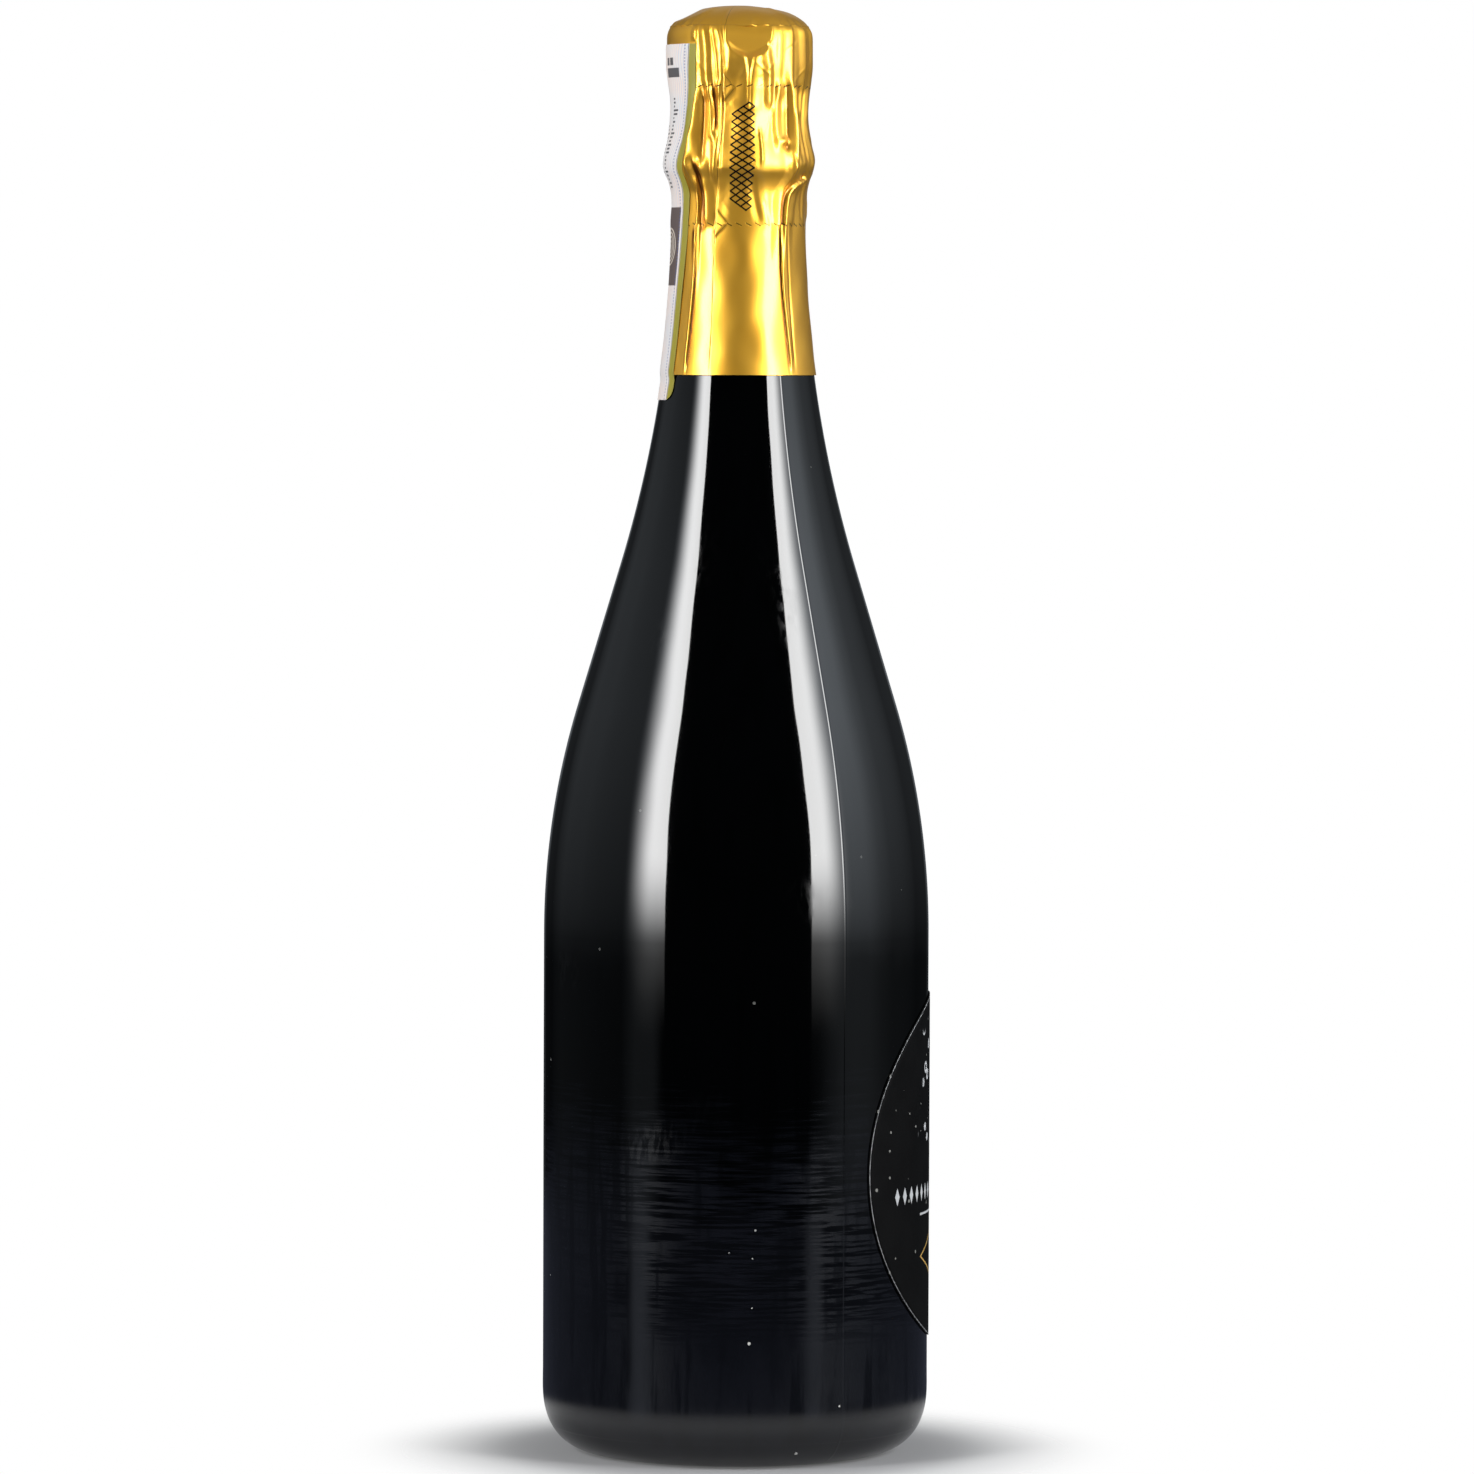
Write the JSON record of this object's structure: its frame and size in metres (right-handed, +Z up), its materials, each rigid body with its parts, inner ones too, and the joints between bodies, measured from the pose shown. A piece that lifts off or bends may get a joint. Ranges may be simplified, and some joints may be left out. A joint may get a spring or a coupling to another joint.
{
  "type": "sparkling wine bottle",
  "caption": "Dark glass sparkling wine bottle with a round label, closed by a wired mushroom cork under a gold foil hood with a tear band and a paper seal strip.",
  "frame": {"origin": "middle of the standing ring, on the surface the bottle stands on", "axes": "+Z up along the bottle, +X through the middle of the front label"},
  "size_m": [0.0869, 0.0864, 0.3242],
  "materials": {
    "glass": "gloss",
    "wine": "clear liquid",
    "label_paper": "matte, silver print",
    "seal_paper": "matte, fine print",
    "foil": "gold, satin and crumpled",
    "ground_cork": "matte",
    "natural_cork": "matte",
    "wire": "zinc plated",
    "plaque": "gold lacquer"
  },
  "bodies": {
    "bottle": {"glass_bottle": "glass", "wine": "wine", "front_label": "label_paper", "foil_sleeve": "foil", "seal_strip_lower": "seal_paper"},
    "cork": {"cork_body": "ground_cork", "cork_disc_upper": "natural_cork", "cork_disc_lower": "natural_cork"},
    "cage": {"cage_plaque": "plaque", "cage_frame": "wire", "cage_belt": "wire"},
    "key": {"cage_key": "wire"},
    "hood": {"foil_cap": "foil", "foil_top_disc": "foil", "foil_tear_band": "foil", "seal_strip_upper": "seal_paper"}
  },
  "joints": [
    {"name": "cork_draw", "type": "slide", "parent": "bottle", "child": "cork", "axis": [0, 0, 1], "range_m": [0, 0.03]},
    {"name": "cage_lift", "type": "slide", "parent": "cork", "child": "cage", "axis": [0, 0, 1], "range_m": [0, 0.045], "deforming": ["cage_frame", "cage_belt"]},
    {"name": "hood_lift", "type": "slide", "parent": "cage", "child": "hood", "axis": [0, 0, 1], "range_m": [0, 0.055], "deforming": ["foil_tear_band", "seal_strip_upper"]},
    {"name": "key_fold", "type": "hinge", "parent": "cage", "child": "key", "pos_m": [0, 0.01655, 0.2873], "axis": [-1, 0, 0], "range_deg": [0, 95]}
  ]
}
